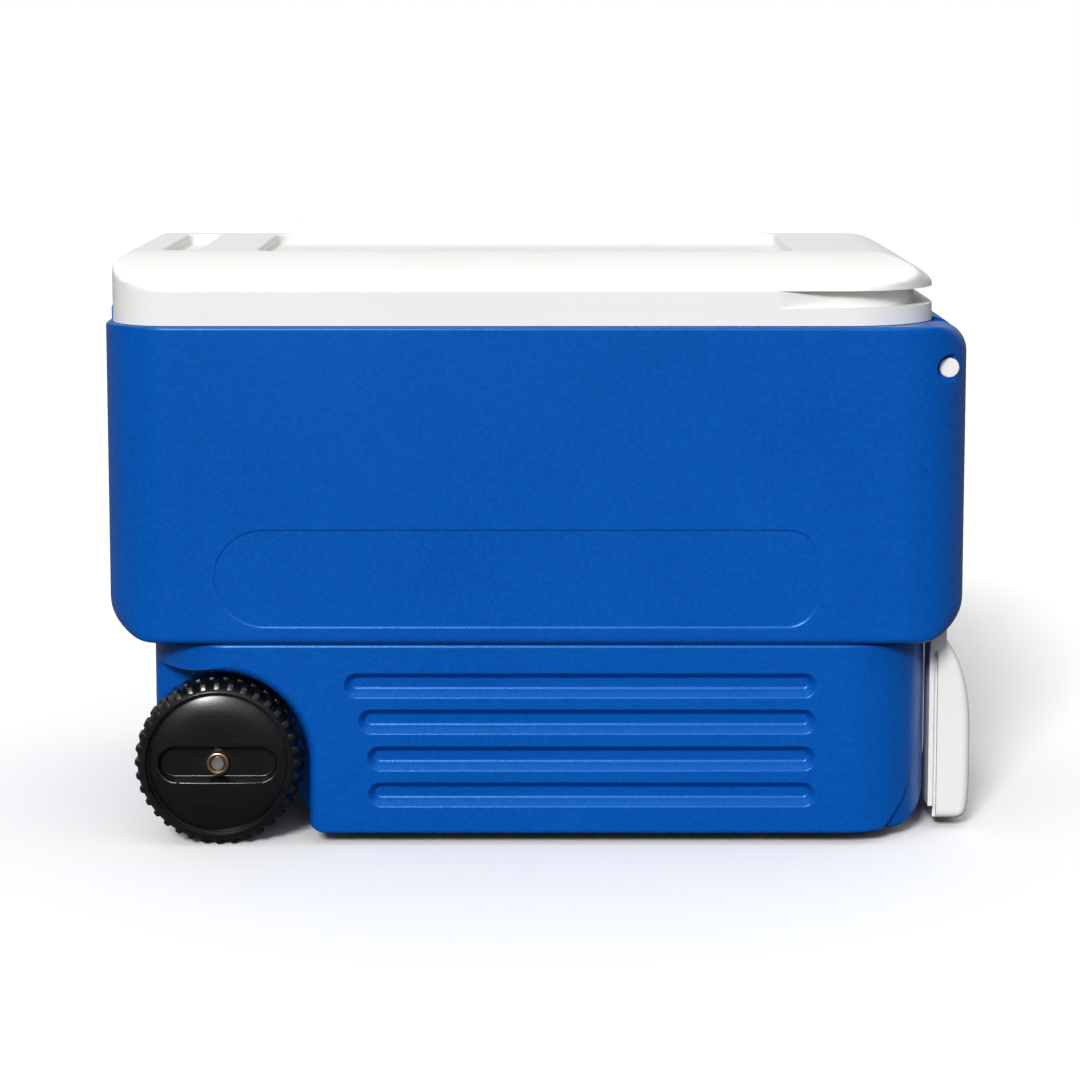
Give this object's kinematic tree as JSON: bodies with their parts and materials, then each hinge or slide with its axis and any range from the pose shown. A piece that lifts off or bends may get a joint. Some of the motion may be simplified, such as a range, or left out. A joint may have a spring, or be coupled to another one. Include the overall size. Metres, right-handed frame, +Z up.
{
  "type": "wheeled cooler box",
  "caption": "Insulated cooler box on wheels with a hinged lid and a swing-out tow handle.",
  "frame": {"origin": "on the floor under the middle of the whole object's box", "axes": "+X towards the tow handle, -Y towards the front long side, +Z up"},
  "size_m": [0.594, 0.36, 0.4],
  "materials": {
    "blue_shell": "fine pebble grain",
    "foam": "rigid foam",
    "white_liner": "smooth",
    "white_lid": "satin",
    "white_handle": "satin",
    "black_wheel": "semi-gloss",
    "black_nylon": "satin",
    "steel": "bright zinc",
    "bronze_cap": "yellow passivated"
  },
  "bodies": {
    "tub": {"outer_shell": "blue_shell", "body_foam": "foam", "liner": "white_liner", "body_fill_plug": "blue_shell", "hinge_pin_front": "steel", "hinge_pin_rear": "steel", "axle": "steel", "axle_bush_front": "black_nylon", "axle_bush_rear": "black_nylon", "wheel_washer_front": "steel", "wheel_washer_rear": "steel", "axle_nut_front": "bronze_cap", "axle_nut_rear": "bronze_cap", "handle_pin_front": "white_handle", "handle_pin_rear": "white_handle"},
    "lid": {"lid_shell": "white_lid", "lid_foam": "foam", "lid_liner": "white_liner", "lid_fill_plug": "white_liner"},
    "front_wheel": {"wheel_front": "black_wheel"},
    "rear_wheel": {"wheel_rear": "black_wheel"},
    "handle": {"tow_handle": "white_handle"}
  },
  "joints": [
    {"name": "lid_hinge", "type": "hinge", "parent": "tub", "child": "lid", "pos_m": [-0.291, 0, 0.3623], "axis": [0, -1, 0], "range_deg": [0, 105]},
    {"name": "handle_pivot", "type": "hinge", "parent": "tub", "child": "handle", "pos_m": [0.2738, 0, 0.326], "axis": [0, -1, 0], "range_deg": [0, 180]},
    {"name": "front_wheel_spin", "type": "hinge", "parent": "tub", "child": "front_wheel", "pos_m": [-0.2205, -0.161, 0.057], "axis": [0, 1, 0], "continuous": true},
    {"name": "rear_wheel_spin", "type": "hinge", "parent": "tub", "child": "rear_wheel", "pos_m": [-0.2205, 0.161, 0.057], "axis": [0, 1, 0], "continuous": true}
  ]
}
